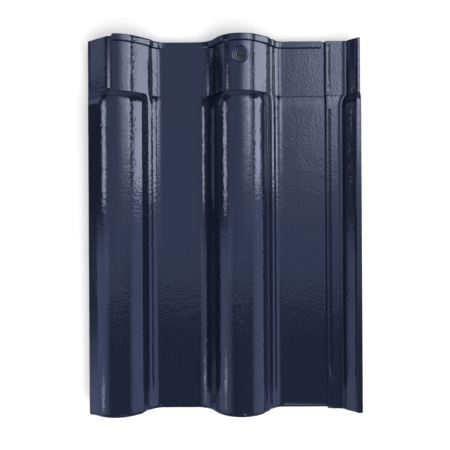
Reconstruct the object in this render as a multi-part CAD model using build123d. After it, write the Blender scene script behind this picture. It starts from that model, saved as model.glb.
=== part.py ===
import os
from math import acos, asin, atan2, cos, degrees, radians, sin, sqrt, tan

from build123d import *

# Interlocking double-roll roof tile, one fired piece. Millimetres.
# It is drawn in its own plane first: +X across the roof towards the under-lap edge, +Y up the slope
# towards the head, +Z out of the weather face, pans at Z = 0. At the end it is laid on the floor.

# overall size
tile_length = 410.0
tile_width = 301.0
wall = 10.0

# the two rolls: round crowns with straight flanks, the left-hand flank of the second roll steeper
roll_height = 33.5
crown_radius = 33.5
right_flank_slope = 52.0    # degrees
right_foot_radius = 12.0
left_flank_slope = 62.0     # degrees
left_foot_radius = 20.0
roll_pitch = 135.0
crest_inset = 33.5          # left edge to the first crest

# over-lap lip: left of the first crest the crown runs out as a straight flank
lip_reach = 22.0            # first crest to the start of the straight flank
lip_bottom = 5.0            # underside of the lip above the pan plane
lip_draft = 14.0            # degrees that the outer face leans out towards its foot
lip_round = 1.5

# head lap, where the next course lies: sunk at the rolls and edges, less so in the pans
lap_length = 60.0
lap_depth = 6.0
pan_step = 2.5
lap_right_slope = 49.0      # degrees
lap_right_foot = 10.0
lap_left_slope = 60.0       # degrees
lap_left_foot = 20.0
shoulder_radius = 13.0
back_step_lead = 4.0        # the step under the shoulder starts this far below the lap
back_step_run = 9.0

# weather bar along the head edge
bar_width = 7.6
bar_height = 3.0
bar_lean = 0.8              # how far its front face leans back
bar_chamfer = 0.8
bar_end_gap = 3.5           # short of the shelf

# corner relief of the head, clearing the neighbouring under-lap edge
relief_inset = 2.3          # first crest to the wall of the relief
relief_depth = 4.5
relief_lead = 1.2           # its lower wall cuts this far into the shoulder
relief_cove = 4.0           # rounding along the foot of its wall
relief_corner = 6.0

# under-lap edge: raised shelf, water groove and upstand
shelf_inset = 37.8          # right edge to the foot of the shelf
shelf_run = 2.0
shelf_height = 3.4
groove_inset = 5.2          # foot of the shelf to the middle of the groove
groove_radius = 1.4
groove_depth = 2.2
groove_tail_gap = 29.0
groove_head_gap = 5.0
upstand_inset = 21.1        # right edge to where its flank would meet the pan plane
upstand_slope = 55.0        # degrees
upstand_fillet = 6.0
upstand_height = 19.0
upstand_draft = 4.0         # degrees that the outer face leans in towards the top
upstand_round = 1.2

# nail hole on the second crest, with a dished seat
nail_radius = 3.0
nail_head_distance = 22.4   # head edge to the hole centre
seat_radius = 8.5
seat_depth = 1.8
rim_radius = 4.4
rim_depth = 1.2

# tail nose under the front edge
nose_depth = 6.0
nose_length = 12.0
nose_crest_gap = 6.7        # from the first crest
nose_shelf_gap = 4.0        # short of the shelf
tail_round = 3.0
back_round = 2.0

# two hanging nibs under the pans
nib_width = 30.0
nib_length = 14.0
nib_depth = 9.0
nib_tip = 8.0               # length of the nib at its tip
nib_head_distance = 37.0    # head edge to the bearing face
nib_round = 2.0

# worked out from the sizes above
head = tile_length / 2
tail = -tile_length / 2
left_edge = -tile_width / 2
right_edge = tile_width / 2
left_crest = left_edge + crest_inset
right_crest = left_crest + roll_pitch
crown_level = roll_height - crown_radius
lip_turn = -asin(lip_reach / crown_radius)
relief_turn = -asin(relief_inset / crown_radius)
nose_turn = asin(nose_crest_gap / crown_radius)
upstand_turn = radians(upstand_slope)
shelf_foot = right_edge - shelf_inset
upstand_foot = right_edge - upstand_inset
lap_foot = head - lap_length
shoulder_top = lap_foot - sqrt(2 * shoulder_radius * lap_depth - lap_depth ** 2)
nib_face = head - nib_head_distance
upstand_back = upstand_inset * tan(upstand_turn) - (wall + lap_depth) / cos(upstand_turn)

# how far pieces reach into the body they join, and cutters past the faces they cut
embed = 5.0
shoulder_sink = 1.5
back_step_bite = 1.25
overrun = 20.0
beyond = 200.0


# A section along the tile is drawn in (Y, Z) and extruded towards +X.
def prism(outline, x_from, x_to):
    plane = Plane(origin=(x_from, 0, 0), x_dir=(0, 1, 0), z_dir=(1, 0, 0))
    return extrude(plane * make_face(outline), x_to - x_from, dir=(1, 0, 0))


# A wave is a top line across the tile: crowns, flanks, feet and pans joined tangentially. Its crowns
# and its two edges lie the same depth below the weather face, its pans at a level of their own.
class Wave:
    def __init__(self, depth, pan, right_slope, right_foot, left_slope, left_foot):
        self.depth = depth
        self.radius = crown_radius - depth
        self.pan = pan
        self.right_turn = radians(right_slope)
        self.right_foot = right_foot
        self.left_turn = radians(left_slope)
        self.left_foot = left_foot

    def on_crown(self, crest, turn):
        return Vector(crest + self.radius * sin(turn), 0, crown_level + self.radius * cos(turn))

    def on_foot(self, centre_x, radius, turn):
        return Vector(centre_x + radius * sin(turn), 0, self.pan + radius - radius * cos(turn))

    # From a crest sideways to where the foot of the flank runs out into the pan.
    def half(self, turn, foot):
        radii = self.radius + foot
        straight_rise = crown_level + self.radius - self.pan - radii * (1 - cos(turn))
        return radii * sin(turn) + straight_rise / tan(turn)

    def pan_after(self, crest):
        return crest + self.half(self.right_turn, self.right_foot)

    def pan_before(self, crest):
        return crest - self.half(self.left_turn, self.left_foot)

    def crown(self, crest, turn_a, turn_b):
        turns = (turn_a, (turn_a + turn_b) / 2, turn_b)
        return ThreePointArc(*[self.on_crown(crest, turn) for turn in turns])

    def foot(self, centre_x, radius, turn_a, turn_b):
        turns = (turn_a, (turn_a + turn_b) / 2, turn_b)
        return ThreePointArc(*[self.on_foot(centre_x, radius, turn) for turn in turns])

    def right_flank(self, crest):
        pan_x = self.pan_after(crest)
        flank_end = self.on_foot(pan_x, self.right_foot, -self.right_turn)
        flank = Line(self.on_crown(crest, self.right_turn), flank_end)
        return [flank, self.foot(pan_x, self.right_foot, -self.right_turn, 0)]

    def left_flank(self, crest):
        pan_x = self.pan_before(crest)
        flank_start = self.on_foot(pan_x, self.left_foot, self.left_turn)
        flank = Line(flank_start, self.on_crown(crest, -self.left_turn))
        return [self.foot(pan_x, self.left_foot, 0, self.left_turn), flank]

    def level(self, x_from, x_to):
        return Line((x_from, 0, self.pan), (x_to, 0, self.pan))

    def rolls(self, first_turn):
        first_crown = self.crown(left_crest, first_turn, self.right_turn)
        first_pan = self.level(self.pan_after(left_crest), self.pan_before(right_crest))
        second_crown = self.crown(right_crest, -self.left_turn, self.right_turn)
        first = [first_crown] + self.right_flank(left_crest)
        second = self.left_flank(right_crest) + [second_crown] + self.right_flank(right_crest)
        return first + [first_pan] + second

    def second_pan(self, end_x):
        return self.level(self.pan_after(right_crest), end_x)

    def lip(self):
        inner = self.on_crown(left_crest, lip_turn)
        slope = Vector(cos(lip_turn), 0, -sin(lip_turn))
        return Line(inner - slope * (crest_inset - lip_reach + overrun), inner)

    def upstand(self):
        radius = upstand_fillet + self.depth
        rise_x = (self.pan + self.depth / cos(upstand_turn)) / tan(upstand_turn)
        start_x = upstand_foot + rise_x - radius * tan(upstand_turn / 2)
        turns = (0, upstand_turn / 2, upstand_turn)
        arc = ThreePointArc(*[self.on_foot(start_x, radius, turn) for turn in turns])
        top = self.on_foot(start_x, radius, upstand_turn)
        rise = Vector(cos(upstand_turn), 0, sin(upstand_turn)) * (upstand_height + 2 * overrun)
        return [self.second_pan(start_x), arc, Line(top, top + rise)]

    def whole(self):
        return [self.lip()] + self.rolls(lip_turn) + self.upstand()


body_wave = Wave(0, 0, right_flank_slope, right_foot_radius, left_flank_slope, left_foot_radius)
lap_wave = Wave(lap_depth, -pan_step, lap_right_slope, lap_right_foot, lap_left_slope, lap_left_foot)


# A longitudinal section is drawn as (Y, distance out of the wave line) and swept across the tile.
def across(section, line):
    path = Wire([edge for piece in line for edge in piece.edges()])
    start = Plane(origin=path @ 0, x_dir=(0, 1, 0), z_dir=path % 0)
    return sweep(start * section, path=path)


# A shoulder that rounds down from a level, reaching the given depth at the foot of the lap.
def shoulder(level, depth, end_depth):
    start = lap_foot - sqrt(2 * shoulder_radius * depth - depth ** 2)
    turn = acos(1 - end_depth / shoulder_radius)
    turns = (0, turn / 2, turn)
    return [(start + shoulder_radius * sin(a), level - shoulder_radius * (1 - cos(a))) for a in turns]


# The body stops at its shoulder, which is carried on a little below the face of the lap.
def body_section():
    points = shoulder(0, lap_depth, lap_depth + shoulder_sink)
    end = points[2]
    edges = [
        RadiusArc((tail, -tail_round), (tail + tail_round, 0), tail_round),
        Line((tail + tail_round, 0), points[0]),
        ThreePointArc(*points),
        Line(end, (end[0], -wall)),
        Line((end[0], -wall), (tail, -wall)),
        Line((tail, -wall), (tail, -tail_round)),
    ]
    return make_face(edges)


# The lap starts inside the body and steps the back down under the shoulder.
def lap_section():
    step = lap_foot - back_step_lead
    start = step - back_step_run * back_step_bite
    outline = Polyline(
        (start, 0),
        (head, 0),
        (head, -wall),
        (step, -wall),
        (start, lap_depth * back_step_bite - wall),
        close=True,
    )
    return make_face(outline)


def bar_section():
    front = head - bar_width
    outline = Polyline(
        (front, -embed),
        (front, 0),
        (front + bar_lean, bar_height),
        (head, bar_height),
        (head, -embed),
        close=True,
    )
    section = make_face(outline)
    return chamfer(section.vertices().sort_by(Axis.Y)[-2:], bar_chamfer)


def nose_section():
    bottom = -wall - nose_depth
    outline = Polyline(
        (tail, embed - wall),
        (tail, bottom),
        (tail + nose_length, bottom),
        (tail + nose_length + nose_depth, -wall),
        (tail + nose_length + nose_depth, embed - wall),
        close=True,
    )
    section = make_face(outline)
    front = section.vertices().sort_by(Axis.Y)[:2].sort_by(Axis.X)[:1]
    return fillet(front, back_round)


# The region above a level that steps down by a depth at the shoulder.
def above(level, depth, x_from, x_to):
    points = shoulder(level, depth, depth)
    low = level - depth
    edges = [
        Line((tail - overrun, level), points[0]),
        ThreePointArc(*points),
        Line(points[2], (head + overrun, low)),
        Line((head + overrun, low), (head + overrun, beyond)),
        Line((head + overrun, beyond), (tail - overrun, beyond)),
        Line((tail - overrun, beyond), (tail - overrun, level)),
    ]
    return prism(edges, x_from, x_to)


# The over-lap lip is cut off level underneath, lower by the lap depth at the head.
def under_lip():
    step = lap_foot - back_step_lead
    outline = Polyline(
        (tail - overrun, lip_bottom),
        (step - back_step_run, lip_bottom),
        (step, lip_bottom - lap_depth),
        (head + overrun, lip_bottom - lap_depth),
        (head + overrun, -beyond),
        (tail - overrun, -beyond),
        close=True,
    )
    return prism(outline, left_crest - beyond, left_crest)


# The long outer faces lean a few degrees, as pressed sides do.
def outside(edge_x, side, draft, level):
    top = edge_x - side * beyond * tan(radians(draft))
    outline = Polyline(
        (edge_x, -beyond),
        (edge_x, level),
        (top, level + beyond),
        (edge_x + side * beyond, level + beyond),
        (edge_x + side * beyond, -beyond),
        close=True,
    )
    return extrude(Plane.XZ * make_face(outline), tile_length, both=True)


# The long arrises of the two side edges are rounded.
def upstand_arrises(body):
    edges = ShapeList()
    for face in body.faces():
        middle = face.center()
        normal = face.normal_at(middle)
        if middle.X > right_edge - upstand_inset / 2 and normal.Z > 0.8:
            edges += face.edges()
    return edges.filter_by(lambda edge: edge.bounding_box().size.Y > lap_depth)


def lip_arrises(body):
    edges = ShapeList()
    for face in body.faces():
        if face.normal_at(face.center()).X < -0.8:
            edges += face.edges()
    edges = edges.filter_by(lambda edge: edge.bounding_box().size.Y > lap_depth)
    return edges.filter_by(lambda edge: edge.center().Z > lip_bottom + lip_round)


def relief():
    floor = -lap_depth - relief_depth
    foot = lap_foot - relief_lead
    section = Pos((foot + head + overrun) / 2, (floor + overrun) / 2) * Rectangle(
        head + overrun - foot, overrun - floor
    )
    line = [body_wave.lip(), body_wave.crown(left_crest, lip_turn, relief_turn)]
    cutter = across(section, line)
    wall_face = cutter.faces().sort_by(Axis.X)[-1]
    corner = wall_face.edges().sort_by(Axis.Y)[0]
    cutter = fillet(corner, relief_corner)
    wall_face = cutter.faces().sort_by(Axis.X)[-1]
    cutter = fillet(wall_face.edges().sort_by(Axis.Z)[0], relief_cove)
    return cutter & Pos(left_crest, 0, lip_bottom + beyond / 2) * Box(beyond, 2 * tile_length, beyond)


# The shelf stands a little above the second pan and steps down with it.
def shelf_block(level, y_from, y_to):
    lean = shelf_run / shelf_height
    inside = upstand_foot + embed
    outline = Polyline(
        (shelf_foot - lean * embed, level - embed),
        (shelf_foot + lean * overrun, level + overrun),
        (inside, level + overrun),
        (inside, level - embed),
        close=True,
    )
    return Pos(0, y_to, 0) * extrude(Plane.XZ * make_face(outline), y_to - y_from)


def shelf():
    blocks = shelf_block(0, tail + tail_round, lap_foot) + shelf_block(-pan_step, shoulder_top, head)
    return blocks - above(shelf_height, pan_step, shelf_foot - overrun, upstand_foot + overrun)


def groove(level, y_from, y_to):
    centre_x = shelf_foot + groove_inset
    centre_z = level - groove_depth + groove_radius
    run = Pos(centre_x, (y_from + y_to) / 2, centre_z) * Rot(X=90) * Cylinder(groove_radius, y_to - y_from)
    ends = [Pos(centre_x, y, centre_z) * Sphere(groove_radius) for y in (y_from, y_to)]
    return run + ends


def nail_hole():
    outline = Polyline(
        (0, -2 * wall),
        (nail_radius, -2 * wall),
        (nail_radius, -seat_depth - rim_depth),
        (rim_radius, -seat_depth),
        (seat_radius, 0),
        (seat_radius, wall),
        (0, wall),
        close=True,
    )
    cutter = revolve(Plane.XZ * make_face(outline), Axis.Z)
    return Pos(right_crest, head - nail_head_distance, roll_height - lap_depth) * cutter


def nib(centre_x):
    root = -pan_step - wall
    outline = Polyline(
        (nib_face, root + embed),
        (nib_face, root - nib_depth),
        (nib_face + nib_tip, root - nib_depth),
        (nib_face + nib_length, root),
        (nib_face + nib_length, root + embed),
        close=True,
    )
    block = prism(outline, centre_x - nib_width / 2, centre_x + nib_width / 2)
    return fillet(block.edges().group_by(Axis.Z)[0], nib_round)


tile = across(body_section(), body_wave.whole()) + across(lap_section(), lap_wave.whole())
tile -= above(upstand_height, lap_depth, upstand_foot - overrun, right_edge + beyond)
tile -= under_lip()
tile -= outside(left_edge, -1, lip_draft, lip_bottom)
tile -= outside(right_edge, 1, upstand_draft, upstand_back)
tile = fillet(upstand_arrises(tile), upstand_round)
tile = fillet(lip_arrises(tile), lip_round)
tile -= relief()
tile += shelf()
bar_line = lap_wave.rolls(relief_turn) + [lap_wave.second_pan(shelf_foot - bar_end_gap)]
tile += across(bar_section(), bar_line)
nose_line = body_wave.rolls(nose_turn) + [body_wave.second_pan(shelf_foot - nose_shelf_gap)]
tile += across(nose_section(), nose_line)
tile += nib((lap_wave.pan_after(left_crest) + lap_wave.pan_before(right_crest)) / 2)
tile += nib((lap_wave.pan_after(right_crest) + shelf_foot) / 2)
tile -= groove(shelf_height, tail + groove_tail_gap, shoulder_top - groove_radius)
tile -= groove(shelf_height - pan_step, lap_foot + groove_head_gap, head - groove_head_gap)
tile -= nail_hole()

# It lies on the tail nose and on the bearing edge of the nibs, so its plane is pitched a little.
rest_pitch = atan2(nib_depth + pan_step - nose_depth, nib_face + nib_round - tail - back_round)
tile = Rot(X=degrees(rest_pitch)) * tile
box = tile.bounding_box()
tile = Pos(-(box.min.X + box.max.X) / 2, -(box.min.Y + box.max.Y) / 2, -box.min.Z) * tile

os.makedirs("parts", exist_ok=True)
export_step(tile, "parts/roof_tile.step")
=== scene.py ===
import bpy
import bmesh
import math
from mathutils import Matrix, Vector


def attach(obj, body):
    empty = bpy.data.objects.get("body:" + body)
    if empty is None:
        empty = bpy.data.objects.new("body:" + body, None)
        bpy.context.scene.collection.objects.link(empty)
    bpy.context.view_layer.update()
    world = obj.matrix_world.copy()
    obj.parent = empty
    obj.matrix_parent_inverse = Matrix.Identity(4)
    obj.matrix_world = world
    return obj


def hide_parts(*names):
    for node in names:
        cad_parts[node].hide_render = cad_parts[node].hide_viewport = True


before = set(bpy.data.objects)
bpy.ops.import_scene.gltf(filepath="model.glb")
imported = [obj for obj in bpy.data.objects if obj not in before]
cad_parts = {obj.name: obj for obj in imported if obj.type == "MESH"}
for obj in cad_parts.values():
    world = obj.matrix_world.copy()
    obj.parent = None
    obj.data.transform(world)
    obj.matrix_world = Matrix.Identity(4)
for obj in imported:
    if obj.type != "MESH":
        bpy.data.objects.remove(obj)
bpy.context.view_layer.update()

bpy.ops.object.select_all(action="DESELECT")
mm = 0.001
hair = 1e-6      # slack where two lengths are compared

# sizes in millimetres in the tile's own plane: +X towards the under-lap edge, +Y towards the head,
# +Z out of the weather face, pans at 0
tileForm = {
    "length": 409.99,
    "width": 300.99,
    "wall": 10.0,
    "crestInset": 33.5,
    "rollPitch": 135.0,
    "rollHeight": 33.5,
    "crownRadius": 33.5,
    "lapLength": 60.0,
    "lapDepth": 6.0,
    "smoothAngle": 40.0,
}
head = tileForm["length"] / 2
tail = -head
leftEdge = -tileForm["width"] / 2
rightEdge = tileForm["width"] / 2
crests = (leftEdge + tileForm["crestInset"], leftEdge + tileForm["crestInset"] + tileForm["rollPitch"])
crownLevel = tileForm["rollHeight"] - tileForm["crownRadius"]
wall = tileForm["wall"]
lapDepth = tileForm["lapDepth"]
lapFoot = head - tileForm["lapLength"]


def mix(a, b, t):
    return tuple(p + (q - p) * t for p, q in zip(a, b))


def steps(a, b, count):
    return [a + (b - a) * i / count for i in range(count)]


def smooth(t):
    t = min(max(t, 0.0), 1.0)
    return t * t * (3 - 2 * t)


def straightRun(start, stop, count):
    return [mix(start, stop, i / count) for i in range(count)]


# a run of points with rounded corners: corners are (x, z, radius, arc points), runs are points per straight
def roundedRun(corners, runs):
    points = []
    ends = []
    for i, (x, z, radius, count) in enumerate(corners):
        here = Vector((x, z))
        if i in (0, len(corners) - 1) or radius == 0:
            ends.append((here, here, None))
            continue
        back = (Vector(corners[i - 1][:2]) - here).normalized()
        ahead = (Vector(corners[i + 1][:2]) - here).normalized()
        half = back.angle(ahead) / 2
        cut = radius / math.tan(half)
        centre = here + (back + ahead).normalized() * (radius / math.sin(half))
        ends.append((here + back * cut, here + ahead * cut, centre))
    for i, (first, last, centre) in enumerate(ends):
        if centre is not None:
            a, b = first - centre, last - centre
            count = corners[i][3]
            for k in range(count):
                turned = a.lerp(b, k / count)
                points.append(tuple(centre + turned.normalized() * corners[i][2]))
        if i < len(ends) - 1:
            start, stop = last, ends[i + 1][0]
            points += [tuple(start.lerp(stop, k / runs[i])) for k in range(runs[i])]
    return points


# the two waves: depth of the crowns and edges, level of the pans, slope and foot of the two flanks of a roll,
# and for the right flank of each roll the slope in degrees at distances from its crest, as the glaze shows it
waveForms = {
    "body": {
        "depth": 0.0, "pan": 0.0,
        "rightSlope": 52.0, "rightFoot": 12.0, "leftSlope": 62.0, "leftFoot": 20.0,
        "glaze": (
            ((0, 0), (19.5, 35.6), (28.6, 41.5), (29.4, 66), (32.6, 66), (33.4, 39), (36.4, 38), (37.1, 46),
             (37.6, 46), (38.3, 37), (40.8, 36), (48.4, 0)),
            ((0, 0), (19.5, 35.6), (21.0, 38), (24.0, 46), (28.4, 58), (29.0, 35), (30.2, 35), (30.8, 60),
             (34.2, 60), (35.0, 34), (37.4, 33), (38.2, 48), (39.2, 46), (40.0, 32), (48.4, 0)),
        ),
    },
    "lap": {
        "depth": 6.0, "pan": -2.5,
        "rightSlope": 49.0, "rightFoot": 10.0, "leftSlope": 60.0, "leftFoot": 20.0,
        "glaze": (
            ((0, 0), (19.5, 36.2), (34.6, 43.2), (35.1, 66), (36.9, 66), (37.4, 40), (41.8, 38), (47.0, 0)),
            ((0, 0), (19.5, 35.6), (29.5, 40.3), (30.0, 60), (33.0, 60), (33.5, 37), (36.0, 37), (36.6, 62),
             (38.2, 62), (38.8, 36), (41.5, 34), (47.0, 0)),
        ),
    },
}
body, lap = waveForms["body"], waveForms["lap"]
steepFrom = 50.0      # slopes past this give way until the flank meets the pan
leanRange = (0.8, 1.25)
leanTries = 40

# points across a wave: turns in degrees left of the first crest, then how many on each stretch
columnForm = {"leftTurns": (-12.0, -3.0), "left": (12, 16, 3), "foot": 16, "flank": 4, "crown": 30, "side": 64,
              "fine": 8, "nib": 8}
nibForm = {"centres": (-50.3, 86.7), "width": 30.0, "face": 168.0, "tip": 176.0, "root": 182.0, "depth": 8.95,
           "round": 2.0, "roundSteps": 4}
# the weather bar: where its front starts, its front in quarters of its height, and the pan where it is a soft ramp
barForm = {
    "front": 197.4,
    "lead": 1.0,
    "height": 2.5,
    "profile": ((0.0, 0.05), (0.06, 0.35), (0.1, 0.9), (0.18, 1.9), (0.26, 2.9), (0.36, 3.4), (0.6, 3.78),
                (1.0, 3.96), (1.5, 4.0), (1.7, 4.0), (3.2, 4.0), (4.6, 4.0), (5.6, 4.0)),
    "startRun": 0.6,
    "startLead": 0.2,
    "endX": 109.2,
    "endRun": 1.2,
    "endColumns": (-1.4, -0.8, -0.4, -0.15, 0.15, 0.4, 0.8, 1.4),
    "ramp": 1.3,
    "rampStart": 189.0,
    "softPan": (-74.0, -20.0),
    "softRuns": (8.0, 6.0),
}


def crownPoint(crest, turn, drop):
    radius = tileForm["crownRadius"] - drop
    return (crest + radius * math.sin(turn), crownLevel + radius * math.cos(turn))


def footPoint(centreX, pan, foot, turn, drop):
    radius = foot + drop
    return (centreX + radius * math.sin(turn), pan + foot - radius * math.cos(turn))


# from a crest sideways to where the foot of its flank runs out into the pan
def rollHalf(form, side):
    turn, foot = math.radians(form[side + "Slope"]), form[side + "Foot"]
    radius = tileForm["crownRadius"] - form["depth"]
    straight = crownLevel + radius - form["pan"] - (radius + foot) * (1 - math.cos(turn))
    return (radius + foot) * math.sin(turn) + straight / math.tan(turn)


def slopeAt(table, gap, lean):
    for (a, low), (b, high) in zip(table, table[1:]):
        if gap <= b:
            slope = low + (high - low) * (gap - a) / (b - a)
            return slope * lean if slope > steepFrom else slope
    return 0.0


# right half of a roll on the weather face, from crest to pan
def glazedSide(crest, form):
    table, count, fine = form["glaze"][crests.index(crest)], columnForm["side"], columnForm["fine"]
    end = table[-1][0]
    gap = end / count / fine
    low, high = leanRange
    for _ in range(leanTries):
        lean = (low + high) / 2
        level, run = tileForm["rollHeight"] - form["depth"], []
        for k in range(count * fine):
            if k % fine == 0:
                run.append((crest + k * gap, level))
            level -= math.tan(math.radians(slopeAt(table, (k + 0.5) * gap, lean))) * gap
        low, high = (lean, high) if level > form["pan"] else (low, lean)
    return run


def backSide(crest, form, drop):
    deep, turn = form["depth"] + drop, math.radians(form["rightSlope"])
    pan, foot, panStart = form["pan"], form["rightFoot"], crest + rollHalf(form, "right")
    count = columnForm["side"]
    crown, bend = count // 2, count // 3
    run = [crownPoint(crest, a, deep) for a in steps(0, turn, crown)]
    run += straightRun(crownPoint(crest, turn, deep), footPoint(panStart, pan, foot, -turn, drop),
                       count - crown - bend)
    return run + [footPoint(panStart, pan, foot, a, drop) for a in steps(-turn, 0, bend)]


# one wave between the lip and the shelf, at a depth below its top line
def waveRun(form, drop):
    deep, left = form["depth"] + drop, math.radians(form["leftSlope"])
    pan, leftFoot = form["pan"], form["leftFoot"]
    panEnd = crests[1] - rollHalf(form, "left")
    turns = (math.degrees(lipTurn), *columnForm["leftTurns"], 0.0)
    run = []
    for a, b, count in zip(turns, turns[1:], columnForm["left"]):
        run += [crownPoint(crests[0], math.radians(turn), deep) for turn in steps(a, b, count)]
    for crest, centre in zip(crests, nibForm["centres"]):
        if crest == crests[1]:
            run += [footPoint(panEnd, pan, leftFoot, a, drop) for a in steps(0, left, columnForm["foot"])]
            run += straightRun(footPoint(panEnd, pan, leftFoot, left, drop), crownPoint(crest, -left, deep),
                               columnForm["flank"])
            run += [crownPoint(crest, a, deep) for a in steps(-left, 0, columnForm["crown"])]
        run += backSide(crest, form, drop) if drop else glazedSide(crest, form)
        panStart = crest + (rollHalf(form, "right") if drop else form["glaze"][0][-1][0])
        nibLeft, nibRight = centre - nibForm["width"] / 2, centre + nibForm["width"] / 2
        flat = [panStart] + steps(nibLeft, nibRight, columnForm["nib"]) + [nibRight]
        run += [(x, pan - drop) for x in flat]
    run += [(barForm["endX"] + gap, pan - drop) for gap in barForm["endColumns"]]
    return run


# left edge, lapping over the next tile
lipForm = {
    "reach": 19.7,
    "bottom": 5.0,
    "draft": 14.0,
    "round": 1.5,
    "toeRound": 0.6,
    "reliefRound": 1.0,
    "under": 1.0,
    "backUnder": 1.2,
    "split": 0.35,      # where its points grow sparser, as a share of its slope
    "backSplit": 0.3,
    "runs": (2, 5, 2, 6),
    "backRuns": (3, 4, 8),
}
lipTurn = -math.asin(lipForm["reach"] / tileForm["crownRadius"])
reliefForm = {"inset": 2.3, "depth": 4.5, "foot": 143.8, "corner": 6.0, "run": 5.0, "columns": 40, "lipGap": 30.0}
wallX = crests[0] - reliefForm["inset"]


def lipFlank(drop, level=None):
    inner = Vector(crownPoint(crests[0], lipTurn, drop))
    slope = Vector((-math.cos(lipTurn), math.sin(lipTurn)))
    if level is not None:
        return inner + slope * ((level - inner.y) / slope.y)
    lean = math.tan(math.radians(lipForm["draft"]))
    offset = leftEdge + (inner.y - lipForm["bottom"]) * lean - inner.x
    return inner + slope * (offset / (slope.x - slope.y * lean))


# from under the lip up its outer face and over the arris to the crown
def lipTop(drop):
    low = lipForm["bottom"] - drop
    arris = lipFlank(drop)
    inner = Vector(crownPoint(crests[0], lipTurn, drop))
    extra = arris.lerp(inner, lipForm["split"])
    return roundedRun([
        (leftEdge + lipForm["under"], low, 0, 0),
        (leftEdge, low, lipForm["toeRound"], 4),
        (arris.x, arris.y, lipForm["round"], 6),
        (extra.x, extra.y, 0, 0),
        (inner.x, inner.y, 0, 0),
    ], lipForm["runs"])


def lipRelief():
    low = lipForm["bottom"] - lapDepth
    drop = lapDepth + reliefForm["depth"]
    flat = lipFlank(drop, lipForm["bottom"])
    inner = Vector(crownPoint(crests[0], lipTurn, drop))
    return roundedRun([
        (leftEdge + lipForm["under"], low, 0, 0),
        (leftEdge, low, lipForm["toeRound"], 4),
        (leftEdge, lipForm["bottom"], lipForm["reliefRound"], 6),
        (flat.x, flat.y, 0, 0),
        (inner.x, inner.y, 0, 0),
    ], lipForm["runs"])


def lipBack(drop):
    low = lipForm["bottom"] - (drop - wall)
    corner = lipFlank(drop, low)
    inner = Vector(crownPoint(crests[0], lipTurn, drop))
    mid = corner.lerp(inner, lipForm["backSplit"])
    return roundedRun([
        (leftEdge + lipForm["backUnder"], low, 0, 0),
        (corner.x, corner.y, lipForm["toeRound"], 10),
        (mid.x, mid.y, 0, 0),
        (inner.x, inner.y, 0, 0),
    ], lipForm["backRuns"])


# right edge, lapped by the next tile: riser, shelf with its groove, ledge and upstand
lapForm = {
    "panEnd": 2.0,
    "shelfFoot": 112.7,
    "shelfRun": 1.3,
    "shelfHeight": 3.4,
    "riserLead": 0.2,
    "riserRounds": (0.4, 0.6),
    "ledge": 1.0,
    "ledgeDip": 0.35,
    "ledgeGaps": (4.2, 1.5),
    "ledgeRounds": (1.5, 0.5),
    "upstandFoot": 127.6,
    "upstandSlope": 50.0,
    "upstandHeight": 19.0,
    "upstandDraft": 4.0,
    "upstandBulge": ((0.27, 0.42), (0.86, -0.7)),      # share of the way up the flank, how far out of its line
    "bulgeRound": 0.8,
    "edgeRound": 1.2,
    "toeRound": 0.6,
    "under": 1.0,
    "backFillet": 6.0,
    "backUnder": 1.2,
    "riserRuns": (2, 2, 1),
    "runs": (4, 2, 2, 2, 3, 1, 3, 4, 2),
    "backArc": 16,
    "footTries": 30,
}
grooveForm = {
    "x": 117.6,
    "depth": 1.3,
    "body": (-176.0, 128.8),
    "head": (147.5, 201.0),
    "runOuts": (14.0, 1.6),
    "section": ((-2.0, 0.0), (0.5, 1.0), (0.9, 1.0), (1.6, 0.0)),
    "columns": (-2.3, -2.1, -1.9, -1.5, -1.0, -0.5, 0.0, 0.3, 0.5, 0.7, 0.9, 1.1, 1.35, 1.6, 1.8, 2.2),
}
upstandTurn = math.radians(lapForm["upstandSlope"])


def flankX(level, drop):
    return lapForm["upstandFoot"] + (level + drop / math.cos(upstandTurn)) / math.tan(upstandTurn)


def outerX(level):
    inset = rightEdge - lapForm["upstandFoot"]
    foot = inset * math.tan(upstandTurn) - (wall + lapDepth) / math.cos(upstandTurn)
    return rightEdge - (level - foot) * math.tan(math.radians(lapForm["upstandDraft"]))


# where the outer face of the upstand meets its underside
def outerFoot(drop):
    level = 0.0
    for _ in range(lapForm["footTries"]):
        across = outerX(level) - lapForm["upstandFoot"]
        level = across * math.tan(upstandTurn) - drop / math.cos(upstandTurn)
    return Vector((outerX(level), level))


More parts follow.
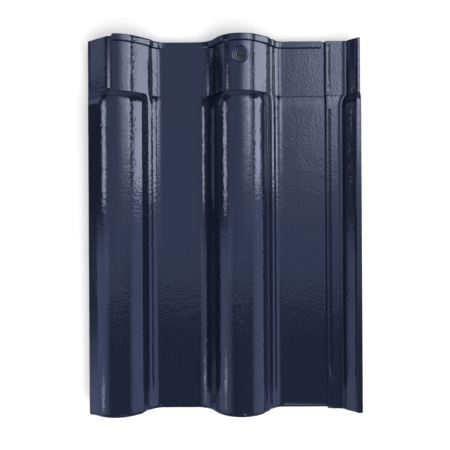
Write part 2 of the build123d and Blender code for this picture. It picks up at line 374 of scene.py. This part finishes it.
def shelfTop(form):
    drop, pan = form["depth"], form["pan"]
    foot, grooveX, grooveColumns = lapForm["shelfFoot"], grooveForm["x"], grooveForm["columns"]
    level = lapForm["shelfHeight"] + pan
    riserLow, riserHigh = lapForm["riserRounds"]
    rise = roundedRun([
        (foot - lapForm["panEnd"], pan, 0, 0),
        (foot + lapForm["riserLead"], pan, riserLow, 5),
        (foot + lapForm["shelfRun"], level, riserHigh, 5),
        (grooveX + grooveColumns[0], level, 0, 0),
    ], lapForm["riserRuns"])
    groove = [(grooveX + gap, level) for gap in grooveColumns]
    lipLevel = lapForm["upstandHeight"] - drop
    under, reach = outerFoot(wall + drop), lapForm["under"]
    edge = lapForm["edgeRound"]
    ledge = level + lapForm["ledge"]
    flankFoot = ledge - lapForm["ledgeDip"]
    turn = flankX(flankFoot, drop)
    ledgeStart, ledgeTop = lapForm["ledgeGaps"]
    hollow, ledgeRound = lapForm["ledgeRounds"]
    low, high = (turn, flankFoot), (flankX(lipLevel, drop), lipLevel)
    swell = []
    for share, out in lapForm["upstandBulge"]:
        x, z = mix(low, high, share)
        swell.append((x - out * math.sin(upstandTurn), z + out * math.cos(upstandTurn), lapForm["bulgeRound"], 2))
    rest = roundedRun([
        (grooveX + grooveColumns[-1], level, 0, 0),
        (turn - ledgeStart, level, hollow, 4),
        (turn - ledgeTop, ledge, ledgeRound, 4),
        (turn, flankFoot, ledgeRound, 4),
        *swell,
        (*high, edge, 6),
        (outerX(lipLevel), lipLevel, edge, 6),
        (under.x, under.y, lapForm["toeRound"], 4),
        (under.x - reach * math.cos(upstandTurn), under.y - reach * math.sin(upstandTurn), 0, 0),
    ], lapForm["runs"])
    return rise + groove + rest[1:]


def shelfBack(form, count):
    drop, level = form["depth"] + wall, form["pan"] - wall
    under, reach = outerFoot(drop), lapForm["backUnder"]
    flat, arc = count // 2, lapForm["backArc"]
    return roundedRun([
        (lapForm["shelfFoot"] - lapForm["panEnd"], level, 0, 0),
        (flankX(level, drop), level, lapForm["backFillet"] + drop, arc),
        (under.x - reach * math.cos(upstandTurn), under.y - reach * math.sin(upstandTurn), 0, 0),
    ], (flat, count - flat - arc))


lipCount = len(lipTop(0))
waveCount = len(waveRun(body, 0))
shelfCount = len(shelfTop(body))
floorRun = [(x, max(z, lipForm["bottom"])) for x, z in waveRun(lap, reliefForm["depth"])]
sections = {
    "body": lipTop(0) + waveRun(body, 0) + shelfTop(body),
    "head": lipTop(lapDepth) + waveRun(lap, 0) + shelfTop(lap),
    "bodyBack": lipBack(wall) + waveRun(body, wall) + shelfBack(body, shelfCount),
    "headBack": lipBack(wall + lapDepth) + waveRun(lap, wall) + shelfBack(lap, shelfCount),
    "relief": lipRelief() + floorRun + shelfTop(lap),
}
columns = len(sections["body"])
print("section points", {name: len(run) for name, run in sections.items()})


def sideways(run):
    out = []
    for i in range(len(run)):
        a, b = Vector(run[max(i - 1, 0)]), Vector(run[min(i + 1, len(run) - 1)])
        along = (b - a).normalized()
        out.append((-along.y, along.x))
    return out


normals = {name: sideways(run) for name, run in sections.items()}

# rows along the tile; a row is its Y and how far down the shoulder it lies, 0 on the body and 1 on the lap
shoulderForm = {"radius": 21.5, "slope": 42.8, "foot": 0.8, "counts": (16, 1, 4)}
noseForm = {"depth": 6.0, "flatEnd": -193.0, "slopeEnd": -187.0, "crestGap": 6.7, "endX": 108.7, "round": 2.0,
            "sideRound": 0.8}
tailForm = {"steps": 8, "round": 5.0, "sideRound": 0.9, "sideColumns": 30}
rowForm = {
    "tail": (-200.5, -197.0, -190.0, -183.0, -180.0, -177.6),
    "groove": (0.0, 0.12, 0.35, 0.7, 1.1, 1.6, 2.4),      # gaps from the end of a groove
    "body": (-168.0, 126.0, 37),
    "lap": (145.6, 146.4, 154.5, 157.0, 160.0, 163.0, 165.5),
    "nib": (4, 3, 7),
    "bar": (196.0, 197.2),
    "head": ((0.75, 0.05), (0.4, 0.2), (0.15, 0.48), (0.03, 0.8), (0.0, 1.1)),      # gap from the end, fall
    "backStep": (132.0, 141.0),
}


def shoulderRows():
    turn = math.radians(shoulderForm["slope"])
    big, small = shoulderForm["radius"], shoulderForm["foot"]
    crown, straight, foot = shoulderForm["counts"]
    ramp = (lapDepth - (big + small) * (1 - math.cos(turn))) / math.tan(turn)
    start = lapFoot - ramp - (big + small) * math.sin(turn)
    drops = [(start + big * math.sin(a), big * (1 - math.cos(a))) for a in steps(0, turn, crown)]
    low = (start + big * math.sin(turn), big * (1 - math.cos(turn)))
    drops += straightRun(low, (low[0] + ramp, low[1] + ramp * math.tan(turn)), straight)
    drops += [(lapFoot - small * math.sin(a), lapDepth - small * (1 - math.cos(a))) for a in steps(turn, 0, foot)]
    return [(y, drop / lapDepth) for y, drop in drops] + [(lapFoot, 1.0)]


bodyY = sorted((*rowForm["tail"], noseForm["flatEnd"], noseForm["slopeEnd"]))
bodyY += [grooveForm["body"][0] + gap for gap in rowForm["groove"]]
bodyY += steps(*rowForm["body"]) + [rowForm["body"][1]]
bodyY += [grooveForm["body"][1] - gap for gap in reversed(rowForm["groove"])]
headY = [*rowForm["lap"], *rowForm["bar"]]
headY += [grooveForm["head"][0] + gap for gap in rowForm["groove"]]
headY += [barForm["front"] + gap for gap, _ in barForm["profile"]]
nibStops = (nibForm["face"], nibForm["tip"], nibForm["root"], rowForm["bar"][0])
for low, high, count in zip(nibStops, nibStops[1:], rowForm["nib"]):
    headY += steps(low, high, count)
rows = [(y, 0.0) for y in bodyY] + shoulderRows() + [(y, 1.0) for y in sorted(headY)]
tailSteps = tailForm["steps"]
rowCount = tailSteps + len(rows) + len(rowForm["head"])
grooveFirst = lipCount + waveCount + next(
    k for k, point in enumerate(shelfTop(body))
    if abs(point[0] - grooveForm["x"] - grooveForm["columns"][0]) < hair)
noseFirst = lipCount + next(
    k for k, p in enumerate(waveRun(body, 0)) if p[0] > crests[0] + noseForm["crestGap"])
noseLast = lipCount + next(k for k, p in enumerate(waveRun(body, 0)) if p[0] > noseForm["endX"]) - 1


def barRise(y):
    low, full = (-barForm["lead"], 0.0), barForm["profile"][-1][1]
    for gap, rise in barForm["profile"]:
        if y - barForm["front"] <= gap + hair:
            t = (y - barForm["front"] - low[0]) / max(gap - low[0], hair)
            return max(0.0, low[1] + (rise - low[1]) * t) * barForm["height"] / full
        low = (gap, rise)
    return barForm["height"]


def rampRise(y):
    return barForm["ramp"] * smooth((y - barForm["rampStart"]) / (head - barForm["rampStart"]))


def softShare(x):
    low, high = barForm["softPan"]
    runIn, runOut = barForm["softRuns"]
    return smooth((x - low) / runIn) * smooth((high - x) / runOut)


def barShare(i, x):
    if i < lipCount or i >= lipCount + waveCount:
        return 0.0
    left = smooth((x - wallX + barForm["startLead"]) / barForm["startRun"])
    right = smooth((barForm["endX"] + barForm["endRun"] / 2 - x) / barForm["endRun"])
    return left * right


def reliefShare(x, y):
    a, b, corner = wallX - x, y - reliefForm["foot"], reliefForm["corner"]
    inside = min(a, b)
    if a < corner and b < corner:
        inside = corner - math.hypot(corner - a, corner - b)
    t = min(max(inside / reliefForm["run"], 0.0), 1.0)
    return 1 - (1 - t) ** 3


def grooveDrop(gap, y):
    share = 0.0
    for (a, low), (b, high) in zip(grooveForm["section"], grooveForm["section"][1:]):
        if a <= gap <= b:
            share = low + (high - low) * (gap - a) / (b - a)
    ends = 0.0
    tailRun, headRun = grooveForm["runOuts"]
    for low, high in (grooveForm["body"], grooveForm["head"]):
        if low < y < high:
            ends = min(min((y - low) / tailRun, (high - y) / headRun), 1.0)
    return share * smooth(ends) * grooveForm["depth"]


# rounding of the tail, smaller towards the two side edges
def edgeRound(i):
    full, small = tailForm["round"], tailForm["sideRound"]
    if i < lipCount:
        return small + (full - small) * smooth(i / (lipCount - 1))
    if i >= lipCount + waveCount:
        return full - (full - small) * smooth((i - lipCount - waveCount) / tailForm["sideColumns"])
    return full


def weatherPoint(i, y, down, lift):
    base = mix(sections["body"][i], sections["head"][i], down)
    side = mix(normals["body"][i], normals["head"][i], down)
    x = sections["head"][i][0]
    if y > reliefForm["foot"] and i < lipCount + reliefForm["columns"]:
        share = reliefShare(x if i >= lipCount else wallX - reliefForm["lipGap"], y)
        base = mix(base, sections["relief"][i], share)
        side = mix(side, normals["relief"][i], share)
    lift += mix((barRise(y),), (rampRise(y),), softShare(x))[0] * barShare(i, x)
    k = i - grooveFirst
    if 0 <= k < len(grooveForm["columns"]):
        lift -= grooveDrop(grooveForm["columns"][k], y)
    return (base[0] + side[0] * lift, y, base[1] + side[1] * lift)


def weatherRow(j, i):
    if j < tailSteps:
        radius = edgeRound(i)
        turn = math.pi / 2 * j / tailSteps
        return weatherPoint(i, tail + radius * (1 - math.cos(turn)), 0.0, -radius * (1 - math.sin(turn)))
    j -= tailSteps
    if j < len(rows):
        return weatherPoint(i, rows[j][0], rows[j][1], 0.0)
    gap, fall = rowForm["head"][j - len(rows)]
    return weatherPoint(i, head - gap, 1.0, -fall)


def noseDrop(i, y):
    if not noseFirst <= i <= noseLast:
        return 0.0
    slope = (noseForm["slopeEnd"] - y) / (noseForm["slopeEnd"] - noseForm["flatEnd"])
    return noseForm["depth"] * min(max(slope, 0.0), 1.0)


def backRow(j, i):
    low, high = rowForm["backStep"]
    radius = noseForm["round"] if lipCount <= i < lipCount + waveCount else noseForm["sideRound"]
    if j < tailSteps:
        turn = math.pi / 2 * j / tailSteps
        y, lift = tail + radius * (1 - math.cos(turn)), radius * (1 - math.sin(turn))
    elif j - tailSteps < len(rows):
        y, lift = rows[j - tailSteps][0], 0.0
    else:
        gap, lift = rowForm["head"][j - tailSteps - len(rows)]
        y = head - gap
    down = min(max((y - low) / (high - low), 0.0), 1.0)
    base = mix(sections["bodyBack"][i], sections["headBack"][i], down)
    side = mix(normals["bodyBack"][i], normals["headBack"][i], down)
    lift -= noseDrop(i, y)
    return (base[0] + side[0] * lift, y, base[1] + side[1] * lift)


# one sheet: a grid laid out point by point on the section
def laySheet(name, place):
    bpy.ops.mesh.primitive_grid_add(x_subdivisions=columns - 1, y_subdivisions=rowCount - 1, size=2)
    sheet = bpy.context.object
    sheet.name = name
    for v in sheet.data.vertices:
        i = round((v.co.x + 1) / 2 * (columns - 1))
        j = round((v.co.y + 1) / 2 * (rowCount - 1))
        v.co = Vector(place(j, i)) * mm
    return sheet


def editOn(obj, mode="FACE"):
    bpy.context.view_layer.objects.active = obj
    obj.select_set(True)
    bpy.ops.object.mode_set(mode="EDIT")
    bpy.ops.mesh.select_mode(type=mode)
    bpy.ops.mesh.select_all(action="DESELECT")


def layTile(glaze, clay):
    weather = laySheet("glazedTile", weatherRow)
    weather.data.materials.append(glaze)
    back = laySheet("tileBack", backRow)
    back.data.materials.append(clay)
    bpy.ops.object.select_all(action="DESELECT")
    back.select_set(True)
    weather.select_set(True)
    bpy.context.view_layer.objects.active = weather
    bpy.ops.object.join()
    editOn(weather, "EDGE")
    bpy.ops.mesh.select_non_manifold(extend=False, use_wire=False, use_boundary=True, use_multi_face=False,
                                     use_non_contiguous=False, use_verts=False)
    bpy.ops.mesh.bridge_edge_loops()      # the rim all round
    weather.active_material_index = 0
    bpy.ops.mesh.select_mode(type="FACE")
    bpy.ops.object.material_slot_assign()
    bpy.ops.mesh.select_all(action="SELECT")
    bpy.ops.mesh.normals_make_consistent(inside=False)
    bpy.ops.object.mode_set(mode="OBJECT")
    print("tile body", len(weather.data.polygons), "faces")
    return weather


def pickFaces(obj, test):
    editOn(obj, "FACE")
    mesh = bmesh.from_edit_mesh(obj.data)
    for face in mesh.faces:
        if test(*(face.calc_center_median() / mm)):
            face.select_set(True)
    bmesh.update_edit_mesh(obj.data)


def pickRim(obj, test):
    editOn(obj, "EDGE")
    mesh = bmesh.from_edit_mesh(obj.data)
    for edge in mesh.edges:
        if edge.is_boundary and all(test(*(vert.co / mm)) for vert in edge.verts):
            edge.select_set(True)
    bmesh.update_edit_mesh(obj.data)


def moveSelected(obj, place):
    mesh = bmesh.from_edit_mesh(obj.data)
    for vert in mesh.verts:
        if vert.select:
            vert.co = Vector(place(*(vert.co / mm))) * mm
    bmesh.update_edit_mesh(obj.data)


nailForm = {
    "x": 18.0,
    "y": 182.6,
    "reach": 12.5,
    "search": 20.0,
    "bore": 3.0,
    "slack": 0.2,
    # radius and depth below the crest; a ring above the skin stays on it
    "seatRings": ((10.6, -3.0), (9.7, -3.0), (9.2, 0.2), (8.9, 0.9), (8.5, 1.5), (8.2, 1.6), (7.9, 1.35),
                  (7.5, 1.2), (6.8, 1.25), (6.2, 1.3), (5.8, 1.4), (5.5, 1.9), (5.2, 2.3), (4.8, 2.35), (4.3, 2.3),
                  (4.0, 2.35), (3.6, 2.6), (3.2, 2.95), (3.0, 3.3), (3.0, 3.7), (3.0, 5.3)),
    "backRings": (6.5, 5.2, 4.2, 3.5, 3.1, 3.0),
}


# nail hole through the second crest: the seat is dished ring by ring, then the bore joins both faces
def boreNail(obj):
    cx, cy, slack = nailForm["x"], nailForm["y"], nailForm["slack"]
    crown, inner = tileForm["crownRadius"] - lapDepth, tileForm["crownRadius"] - lapDepth - wall
    middle = (crown + inner) / 2
    limit = nailForm["reach"] / crown

    def near(x, y, z):
        return abs(math.atan2(x - cx, z - crownLevel)) < limit and abs(y - cy) < nailForm["reach"]

    def around(x, y):
        return abs(x - cx) < nailForm["search"] and abs(y - cy) < nailForm["search"]

    def seatLevel(x, depth):
        bend = crown if x < cx else tileForm["crownRadius"]
        skin = crownLevel + crown - bend + math.sqrt(bend ** 2 - (x - cx) ** 2)
        return min(skin, tileForm["rollHeight"] - lapDepth - depth)

    def ring(radius, level):
        def place(x, y, z):
            turn = math.atan2(y - cy, x - cx)
            px, py = cx + radius * math.cos(turn), cy + radius * math.sin(turn)
            return (px, py, level(px))
        bpy.ops.mesh.extrude_region_move()
        moveSelected(obj, place)

    pickFaces(obj, near)
    bpy.ops.mesh.delete(type="FACE")
    pickRim(obj, lambda x, y, z: around(x, y) and math.hypot(x - cx, z - crownLevel) > middle)
    for radius, depth in nailForm["seatRings"]:
        ring(radius, lambda x: seatLevel(x, depth))
    pickRim(obj, lambda x, y, z: around(x, y) and math.hypot(x - cx, z - crownLevel) < middle)
    for radius in nailForm["backRings"]:
        ring(radius, lambda x: crownLevel + math.sqrt(inner ** 2 - (x - cx) ** 2))
    pickRim(obj, lambda x, y, z: math.hypot(x - cx, y - cy) < nailForm["bore"] + slack)
    bpy.ops.mesh.bridge_edge_loops()
    bpy.ops.mesh.select_all(action="SELECT")
    bpy.ops.mesh.normals_make_consistent(inside=False)
    bpy.ops.object.mode_set(mode="OBJECT")
    pickFaces(obj, lambda x, y, z: math.hypot(x - cx, y - cy) < nailForm["bore"] + slack / 2)
    obj.active_material_index = 0
    bpy.ops.object.material_slot_assign()      # glaze runs down the bore
    bpy.ops.object.mode_set(mode="OBJECT")
    print("nail hole bored")


# hanging nibs drawn out of the back, thinner towards the tip
def drawNibs(obj):
    face, tip, root, half = nibForm["face"], nibForm["tip"], nibForm["root"], nibForm["width"] / 2
    under = lap["pan"] - wall / 2
    for centreX in nibForm["centres"]:
        pickFaces(obj, lambda x, y, z: abs(x - centreX) < half and face < y < root and z < under)
        bpy.ops.mesh.extrude_region_move(TRANSFORM_OT_translate={"value": (0, 0, -nibForm["depth"] * mm)})
        moveSelected(obj, lambda x, y, z: (x, face + (y - face) * (tip - face) / (root - face), z))
        bpy.ops.mesh.dissolve_faces()
        bpy.ops.mesh.region_to_loop()
        bpy.ops.mesh.bevel(offset=nibForm["round"] * mm, segments=nibForm["roundSteps"], affect="EDGES")
        bpy.ops.object.mode_set(mode="OBJECT")
    print("nibs drawn,", len(obj.data.polygons), "faces in all")


# one layer of relief on the skin: noise pressed into the normal that comes in
def makeGrain():
    group = bpy.data.node_groups.new("skinGrain", "ShaderNodeTree")
    for name in ("Vector", "Normal"):
        group.interface.new_socket(name=name, in_out="INPUT", socket_type="NodeSocketVector")
    for name in ("Scale", "Detail", "Depth"):
        group.interface.new_socket(name=name, in_out="INPUT", socket_type="NodeSocketFloat")
    group.interface.new_socket(name="Normal", in_out="OUTPUT", socket_type="NodeSocketVector")
    nodes, links = group.nodes, group.links
    given = nodes.new("NodeGroupInput")
    noise = nodes.new("ShaderNodeTexNoise")
    bump = nodes.new("ShaderNodeBump")
    result = nodes.new("NodeGroupOutput")
    for name in ("Vector", "Scale", "Detail"):
        links.new(given.outputs[name], noise.inputs[name])
    links.new(noise.outputs[0], bump.inputs["Height"])
    links.new(given.outputs["Depth"], bump.inputs["Distance"])
    links.new(given.outputs["Normal"], bump.inputs["Normal"])
    links.new(bump.outputs["Normal"], result.inputs["Normal"])
    return group


skinGrain = makeGrain()


def addGrain(mat, coord, normal, scale, detail, depth):
    nodes, links = mat.node_tree.nodes, mat.node_tree.links
    grain = nodes.new("ShaderNodeGroup")
    grain.node_tree = skinGrain
    for name, value in (("Scale", scale), ("Detail", detail), ("Depth", depth)):
        grain.inputs[name].default_value = value
    links.new(coord.outputs["Object"], grain.inputs["Vector"])
    links.new(normal, grain.inputs["Normal"])
    return grain.outputs["Normal"]


# layers of the fired skin: scale, detail and depth in metres
glazeForm = {
    "colour": (0.0085, 0.0115, 0.028, 1),
    "roughness": 0.075,
    "layers": {"swell": (28.0, 2.0, 0.00035), "ripple": (130.0, 2.0, 0.00010), "peel": (380.0, 2.0, 0.00018)},
}


def makeGlaze():
    mat = bpy.data.materials.new("navyGlaze")
    mat.use_nodes = True
    nodes, links = mat.node_tree.nodes, mat.node_tree.links
    bsdf = nodes["Principled BSDF"]
    bsdf.inputs["Base Color"].default_value = glazeForm["colour"]
    bsdf.inputs["Roughness"].default_value = glazeForm["roughness"]
    coord = nodes.new("ShaderNodeTexCoord")
    normal = nodes.new("ShaderNodeNewGeometry").outputs["Normal"]
    for layer in glazeForm["layers"].values():
        normal = addGrain(mat, coord, normal, *layer)
    links.new(normal, bsdf.inputs["Normal"])
    return mat


clayForm = {
    "dark": (0.15, 0.068, 0.042, 1),
    "light": (0.235, 0.12, 0.076, 1),
    "roughness": 0.85,
    "blotch": {"Scale": 22.0, "Detail": 6.0, "Roughness": 0.65},
    "blotchSpan": (0.35, 0.65),
    "pitScale": 210.0,
    "pitWidth": 0.22,
    "pitDepth": 0.0005,
    "pitStrength": 0.5,
    "grain": (900.0, 3.0, 0.00025),
}


# the back is left unglazed: blotchy fired clay with a sandy grain and a few pits
def makeClay():
    mat = bpy.data.materials.new("firedClay")
    mat.use_nodes = True
    nodes, links = mat.node_tree.nodes, mat.node_tree.links
    bsdf = nodes["Principled BSDF"]
    bsdf.inputs["Roughness"].default_value = clayForm["roughness"]
    coord = nodes.new("ShaderNodeTexCoord")
    blotch = nodes.new("ShaderNodeTexNoise")
    for name, value in clayForm["blotch"].items():
        blotch.inputs[name].default_value = value
    links.new(coord.outputs["Object"], blotch.inputs["Vector"])
    tone = nodes.new("ShaderNodeValToRGB")
    for stop, place, name in zip(tone.color_ramp.elements, clayForm["blotchSpan"], ("dark", "light")):
        stop.position = place
        stop.color = clayForm[name]
    links.new(blotch.outputs[0], tone.inputs["Fac"])
    links.new(tone.outputs["Color"], bsdf.inputs["Base Color"])
    pits = nodes.new("ShaderNodeTexVoronoi")
    pits.inputs["Scale"].default_value = clayForm["pitScale"]
    links.new(coord.outputs["Object"], pits.inputs["Vector"])
    hollow = nodes.new("ShaderNodeMapRange")
    hollow.inputs["From Max"].default_value = clayForm["pitWidth"]
    links.new(pits.outputs["Distance"], hollow.inputs["Value"])
    dent = nodes.new("ShaderNodeBump")
    dent.inputs["Distance"].default_value = clayForm["pitDepth"]
    dent.inputs["Strength"].default_value = clayForm["pitStrength"]
    links.new(hollow.outputs[0], dent.inputs["Height"])
    links.new(addGrain(mat, coord, dent.outputs["Normal"], *clayForm["grain"]), bsdf.inputs["Normal"])
    return mat


# the tile lies on its nose and nibs, so its plane is pitched
restForm = {"rise": 5.5, "run": 373.0, "shiftY": 0.132693, "shiftZ": 18.991451}
restPitch = math.atan2(restForm["rise"], restForm["run"])

tile = layTile(makeGlaze(), makeClay())
boreNail(tile)
drawNibs(tile)
bpy.ops.object.select_all(action="DESELECT")
tile.select_set(True)
bpy.context.view_layer.objects.active = tile
bpy.ops.object.shade_smooth_by_angle(angle=math.radians(tileForm["smoothAngle"]))
tile.rotation_euler = (restPitch, 0, 0)
tile.location = (0, restForm["shiftY"] * mm, restForm["shiftZ"] * mm)
bpy.ops.object.transform_apply(location=True, rotation=True, scale=False)
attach(tile, "root")
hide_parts("roof_tile")

# stage
floorForm = {"size": 8.0, "colour": (0.95, 0.95, 0.95, 1), "roughness": 0.9, "specular": 0.0}


def layFloor():
    bpy.ops.mesh.primitive_plane_add(size=floorForm["size"], location=(0, 0, 0))
    floor = bpy.context.object
    floor.name = "studioFloor"
    mat = bpy.data.materials.new("paleFloor")
    mat.use_nodes = True
    bsdf = mat.node_tree.nodes["Principled BSDF"]
    bsdf.inputs["Base Color"].default_value = floorForm["colour"]
    bsdf.inputs["Roughness"].default_value = floorForm["roughness"]
    bsdf.inputs["Specular IOR Level"].default_value = floorForm["specular"]
    floor.data.materials.append(mat)


# soft boxes and walls that the glaze mirrors, and a dim sheet over the floor that paints a darker reflection of
# the floor: a corner, the two sides from it, brightness, softness of the left, right, lower and upper edge; light
# adds up through them, and a solid one hides what is behind it
boxLight, coolLight = (0.95, 1.0, 1.3, 1), (0.82, 0.98, 1.75, 1)
panels = {
    "ceiling": {"corner": (-1.8, -0.34, 1.3), "across": (3.6, 0, 0), "up": (0, 2.6, 0), "light": 0.58,
                "soft": (0.2, 0.2, 0.045, 0.2), "colour": coolLight},
    "highBox": {"corner": (-0.1, -0.1, 1.29), "across": (1.8, 0, 0), "up": (0, 1.8, 0), "light": 2.3,
                "soft": (0.35, 0.2, 0.45, 0.2), "colour": boxLight},
    "leftBox": {"corner": (-0.33, 0.02, 0.185), "across": (0, 0.29, 0), "up": (0, 0, 0.105), "light": 5.8,
                "soft": (0.1, 0.45, 0.1, 0.1), "colour": boxLight},
    "tailBox": {"corner": (-0.63, -0.41, 0.33), "across": (0, 0.08, 0), "up": (0, 0, 0.11), "light": 5.0,
                "soft": (0.2, 0.3, 0.1, 0.1), "colour": boxLight},
    "leftWall": {"corner": (-0.7, -0.9, 0.09), "across": (0, 0.94, 0), "up": (0, 0, 1.3), "light": 0.95,
                 "soft": (0.2, 0.12, 0.04, 0.8), "colour": coolLight},
    "leftLow": {"corner": (-0.7, -0.9, 0.0), "across": (0, 0.75, 0), "up": (0, 0, 0.14), "light": 0.95,
                "soft": (0.2, 0.3, 0.05, 0.3), "colour": coolLight},
    "lipGlow": {"corner": (-0.7, 0.26, 0.0), "across": (0, 0.4, 0), "up": (0, 0, 0.3), "light": 0.75,
                "soft": (0.15, 0.2, 0.05, 0.4), "colour": coolLight},
    "tailGlint": {"corner": (0.11, -0.9, 0.38), "across": (0.17, 0, 0), "up": (0, 0, 0.95), "light": 2.2,
                  "soft": (0.15, 0.15, 0.1, 0.2), "colour": boxLight},
    "rightBox": {"corner": (0.67, 0.06, 0.15), "across": (0, 0.5, 0), "up": (0, 0, 0.295), "light": 5.8,
                 "soft": (0.12, 0.1, 0.05, 0.06), "colour": boxLight},
    "lapBox": {"corner": (0.67, 0.27, 0.06), "across": (0, 0.35, 0), "up": (0, 0, 0.105), "light": 5.8,
               "soft": (0.1, 0.1, 0.1, 0.14), "colour": boxLight},
    "rightWall": {"corner": (0.75, -0.9, 0.0), "across": (0, 1.3, 0), "up": (0, 0, 0.9), "light": 1.0,
                  "soft": (0.2, 0.3, 0.02, 0.5), "colour": coolLight},
    "headWall": {"corner": (-0.9, 1.25, 0.0), "across": (1.8, 0, 0), "up": (0, 0, 0.85), "light": 0.5,
                 "soft": (0.25, 0.25, 0.15, 0.45), "colour": coolLight},
    # painted reflection: a dim cool sheet just over the floor, seen only by the glaze, so the white floor is
    # mirrored darker and bluer
    "paintedFloorReflection": {"corner": (-1.2, -1.2, 0.0003), "across": (2.4, 0, 0), "up": (0, 2.4, 0), "light": 0.3,
                  "soft": (0.05, 0.05, 0.05, 0.05), "colour": coolLight, "solid": True},
    "bandBox": {"corner": (0.23, 0.07, 0.285), "across": (0, 0.5, 0), "up": (0, 0, 0.2), "light": 4.2,
                "soft": (0.2, 0.1, 0.05, 0.9), "colour": boxLight},
    "bandGlow": {"corner": (0.23, 0.05, 0.285), "across": (0, 0.5, 0), "up": (0, 0, 0.8), "light": 1.9,
                 "soft": (0.3, 0.1, 0.02, 0.97), "colour": boxLight},
}


# brightness of a panel that fades towards its edges; an edge input is the UV where the fade is over
def makeSoftEdges():
    edges = (("Left", "X", 0.0), ("Right", "X", 1.0), ("Low", "Y", 0.0), ("High", "Y", 1.0))
    group = bpy.data.node_groups.new("softEdges", "ShaderNodeTree")
    group.interface.new_socket(name="UV", in_out="INPUT", socket_type="NodeSocketVector")
    for name in ["Light"] + [edge[0] for edge in edges]:
        group.interface.new_socket(name=name, in_out="INPUT", socket_type="NodeSocketFloat")
    group.interface.new_socket(name="Strength", in_out="OUTPUT", socket_type="NodeSocketFloat")
    nodes, links = group.nodes, group.links
    given = nodes.new("NodeGroupInput")
    split = nodes.new("ShaderNodeSeparateXYZ")
    links.new(given.outputs["UV"], split.inputs[0])
    level = given.outputs["Light"]
    for name, axis, start in edges:
        fade = nodes.new("ShaderNodeMapRange")
        fade.interpolation_type = "SMOOTHSTEP"
        fade.inputs["From Min"].default_value = start
        links.new(given.outputs[name], fade.inputs["From Max"])
        links.new(split.outputs[axis], fade.inputs["Value"])
        both = nodes.new("ShaderNodeMath")
        both.operation = "MULTIPLY"
        links.new(level, both.inputs[0])
        links.new(fade.outputs[0], both.inputs[1])
        level = both.outputs[0]
    result = nodes.new("NodeGroupOutput")
    links.new(level, result.inputs["Strength"])
    return group


softEdges = makeSoftEdges()


def panelFinish(name, form):
    mat = bpy.data.materials.new(name)
    mat.use_nodes = True
    nodes, links = mat.node_tree.nodes, mat.node_tree.links
    nodes.remove(nodes["Principled BSDF"])
    coord = nodes.new("ShaderNodeTexCoord")
    level = nodes.new("ShaderNodeGroup")
    level.node_tree = softEdges
    left, right, low, high = form["soft"]
    given = {"Light": form["light"], "Left": left, "Right": 1 - right, "Low": low, "High": 1 - high}
    for socket, value in given.items():
        level.inputs[socket].default_value = value
    links.new(coord.outputs["UV"], level.inputs["UV"])
    emit = nodes.new("ShaderNodeEmission")
    emit.inputs["Color"].default_value = form["colour"]
    links.new(level.outputs["Strength"], emit.inputs["Strength"])
    surface = emit
    if not form.get("solid"):
        clear = nodes.new("ShaderNodeBsdfTransparent")
        surface = nodes.new("ShaderNodeAddShader")
        links.new(emit.outputs[0], surface.inputs[0])
        links.new(clear.outputs[0], surface.inputs[1])
    links.new(surface.outputs[0], nodes["Material Output"].inputs["Surface"])
    return mat


# seen in reflections only
def hangPanels():
    for name, form in panels.items():
        across, up = Vector(form["across"]), Vector(form["up"])
        middle = Vector(form["corner"]) + across / 2 + up / 2
        bpy.ops.mesh.primitive_plane_add(size=1)
        panel = bpy.context.object
        panel.name = name
        axes = Matrix((across, up, across.cross(up).normalized())).transposed().to_4x4()
        panel.data.transform(Matrix.Translation(middle) @ axes)
        panel.data.materials.append(panelFinish(name, form))
        panel.visible_camera = False
        panel.visible_diffuse = False
        panel.visible_shadow = False


lampForm = {"place": (0.4, -0.6, 2.2), "size": 2.0, "energy": 82.0}


def hangLamp():
    bpy.ops.object.light_add(type="AREA", location=lampForm["place"])
    lamp = bpy.context.object
    lamp.name = "fillLamp"
    lamp.data.size = lampForm["size"]
    lamp.data.energy = lampForm["energy"]
    lamp.rotation_euler = Vector(lampForm["place"]).to_track_quat("Z", "Y").to_euler()
    lamp.visible_glossy = False


# a dim room, a little lighter towards one side
roomForm = {"colour": (0.95, 0.97, 1.05, 1), "toward": (0.3, 0.2, 0.9),
            "span": {"From Min": 0.0, "From Max": 1.0, "To Min": 0.04, "To Max": 0.07}}


def setRoom():
    world = bpy.data.worlds.new("studioRoom")
    bpy.context.scene.world = world
    world.use_nodes = True
    nodes, links = world.node_tree.nodes, world.node_tree.links
    coord = nodes.new("ShaderNodeTexCoord")
    dot = nodes.new("ShaderNodeVectorMath")
    dot.operation = "DOT_PRODUCT"
    dot.inputs[1].default_value = Vector(roomForm["toward"]).normalized()
    links.new(coord.outputs["Generated"], dot.inputs[0])
    level = nodes.new("ShaderNodeMapRange")
    level.interpolation_type = "SMOOTHSTEP"
    for name, value in roomForm["span"].items():
        level.inputs[name].default_value = value
    links.new(dot.outputs["Value"], level.inputs["Value"])
    links.new(level.outputs[0], nodes["Background"].inputs["Strength"])
    nodes["Background"].inputs["Color"].default_value = roomForm["colour"]


layFloor()
hangPanels()
hangLamp()
setRoom()
print("stage lit,", len(panels), "panels")

# straight over the tile, square to its plane
cameraForm = {"distance": 0.620, "lens": 44.37, "sensor": 36, "turn": -0.33, "x": 0.0007}


def setCamera():
    bpy.ops.object.camera_add()
    camera = bpy.context.object
    camera.name = "photoCamera"
    camera.data.lens = cameraForm["lens"]
    camera.data.sensor_width = cameraForm["sensor"]
    camera.location = (cameraForm["x"], restForm["shiftY"] * mm - cameraForm["distance"] * math.sin(restPitch),
                       restForm["shiftZ"] * mm + cameraForm["distance"] * math.cos(restPitch))
    turned = Matrix.Rotation(restPitch, 3, "X") @ Matrix.Rotation(math.radians(cameraForm["turn"]), 3, "Z")
    camera.rotation_euler = turned.to_euler()
    bpy.context.scene.camera = camera


setCamera()
bpy.context.scene.view_settings.view_transform = "Standard"
